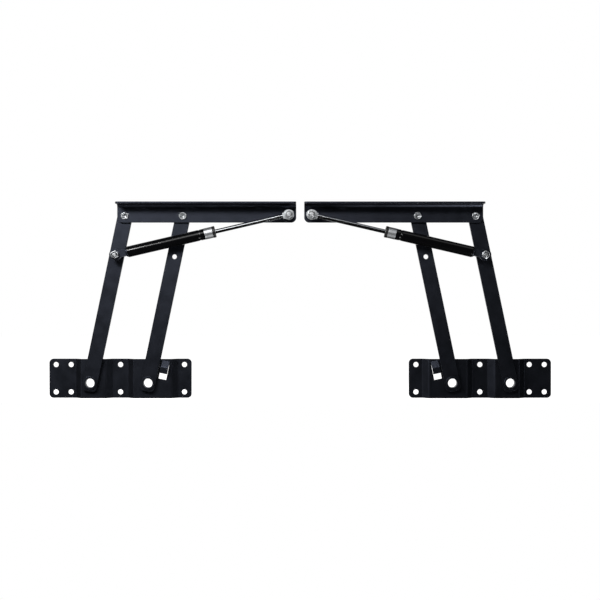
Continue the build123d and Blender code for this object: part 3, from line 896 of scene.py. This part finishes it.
def make_plane(name, corners, material):
    """A flat sheet with those corners, which belongs to the set and not to the object."""
    mesh = bpy.data.meshes.new(name)
    mesh.from_pydata(corners, [], [range(len(corners))])
    mesh.materials.append(material)
    plane = add_object(name, mesh)
    return plane


near = [(x, FLOOR_FRONT, 0) for x in (-FLOOR_HALF_WIDTH, FLOOR_HALF_WIDTH)]
far = [(x, FLOOR_BACK, 0) for x in (FLOOR_HALF_WIDTH, -FLOOR_HALF_WIDTH)]
floor = make_plane("floor", near + far, make_floor_paint())
floor.visible_glossy = False
print("floor from", FLOOR_FRONT, "to", FLOOR_BACK)

# %% World
AMBIENT = 0.35
world = bpy.data.worlds.new("white_room")
bpy.context.scene.world = world
world.use_nodes = True
room = world.node_tree
background = room.nodes["Background"]
background.inputs["Color"].default_value = srgb("ffffff")
rays = add_node(room, "ShaderNodeLightPath")
seen = rays.outputs["Is Camera Ray"]
for kind in ("Is Glossy Ray", "Is Transmission Ray"):
    pair = {0: seen, 1: rays.outputs[kind]}
    seen = add_node(room, "ShaderNodeMath", pair, operation="MAXIMUM").outputs["Value"]
strength = add_node(room, "ShaderNodeMapRange", {"Value": seen, "To Min": AMBIENT, "To Max": 1.0})
room.links.new(strength.outputs["Result"], background.inputs["Strength"])
print("world is white to the camera and", AMBIENT, "to everything else")

# %% Curtain
CURTAIN_RADIUS = 2.6
CURTAIN_HALF_WIDTH = 3.0
CURTAIN_START = -150  # in degrees round the x axis, from the front
CURTAIN_TURN = 300
CURTAIN_STEPS = 24
object_middle = (cad_box[0] + cad_box[1]) / 2


def make_curtain():
    """A black tunnel round the set, open behind it and seen only by reflections."""
    sockets = {"Roughness": 1.0, "Base Color": srgb("000000"), "Specular IOR Level": 0.0}
    material = start_material("black_velvet", sockets)[0]
    mesh = bpy.data.meshes.new("curtain")
    shape = bmesh.new()
    rows = []
    for step in range(CURTAIN_STEPS + 1):
        angle = radians(CURTAIN_START + step * CURTAIN_TURN / CURTAIN_STEPS)
        y = -CURTAIN_RADIUS * cos(angle)
        z = object_middle.z + CURTAIN_RADIUS * sin(angle)
        ends = [(x, y, z) for x in (-CURTAIN_HALF_WIDTH, CURTAIN_HALF_WIDTH)]
        rows.append([shape.verts.new(end) for end in ends])
    for low, high in zip(rows, rows[1:]):
        shape.faces.new((low[0], low[1], high[1], high[0]))
    for column in (0, 1):
        shape.faces.new([row[column] for row in rows])
    shape.to_mesh(mesh)
    shape.free()
    mesh.materials.append(material)
    curtain = add_object("curtain", mesh)
    for ray in ("camera", "diffuse", "shadow", "transmission", "volume_scatter"):
        setattr(curtain, f"visible_{ray}", False)


make_curtain()
print("a curtain of", CURTAIN_STEPS, "strips")

# %% Lamps
LAMPS = {  # place, width and height in metres, and the radiance that a mirror would show
    "left_softbox": ((-0.59, -0.6, 0.6), 0.42, 0.12, 44.0),
    "centre_softbox": ((0, -0.6, 0.6), 0.14, 0.12, 31.0),
    "rod_softbox": ((-0.235, -0.6, 0.575), 0.29, 0.3, 2.4),
    "high_card": ((0.6, -0.6, 1.4), 1.2, 0.5, 0.6),
    "left_strip": ((-1.5, -0.9, 0.2), 0.3, 0.8, 1.5),
    "right_strip": ((1.5, -0.9, 0.2), 0.3, 0.8, 1.5),
    "low_left_card": ((-0.6, -0.45, -0.9), 0.5, 0.3, 2.5),
    "low_right_card": ((0.6, -0.45, -0.9), 0.5, 0.3, 20.0),
}


def make_softbox(name, place, width, height, radiance):
    """An area lamp aimed at the object; its power follows from its radiance."""
    light = bpy.data.lights.new(name, "AREA")
    light.shape = "RECTANGLE"
    light.size = width
    light.size_y = height
    light.energy = radiance * pi * width * height
    lamp = add_object(name, light)
    lamp.location = place
    lamp.rotation_euler = (object_middle - Vector(place)).to_track_quat("-Z", "Y").to_euler()
    lamp.visible_camera = False


for name, (place, width, height, radiance) in LAMPS.items():
    make_softbox(name, place, width, height, radiance)
print(len(LAMPS), "lamps")

# %% [markdown]
# ## Camera
#
# The photograph looks straight at the pair from about a metre and a half. The lens follows from the
# width that the frame covers at the arms: a wide lens from nearby would turn the flanges' undersides
# more to the viewer than the picture shows.

# %% Camera
VIEW_DISTANCE = 1.5
VIEW_WIDTH = 0.828
VIEW_HEIGHT = 136.15 * MM
VIEW_SHIFT = -0.3 * MM
SENSOR = 36.0
arm_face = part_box("left_front_arm")[0].y
camera_data = bpy.data.cameras.new("camera")
camera_data.sensor_width = SENSOR
camera_data.lens = SENSOR * VIEW_DISTANCE / VIEW_WIDTH
camera = add_object("camera", camera_data)
camera.location = (VIEW_SHIFT, arm_face - VIEW_DISTANCE, VIEW_HEIGHT)
camera.rotation_euler = (QUARTER, 0, 0)
bpy.context.scene.camera = camera
bpy.context.scene.view_settings.view_transform = "Standard"
print("lens", round(camera_data.lens, 1), "mm")
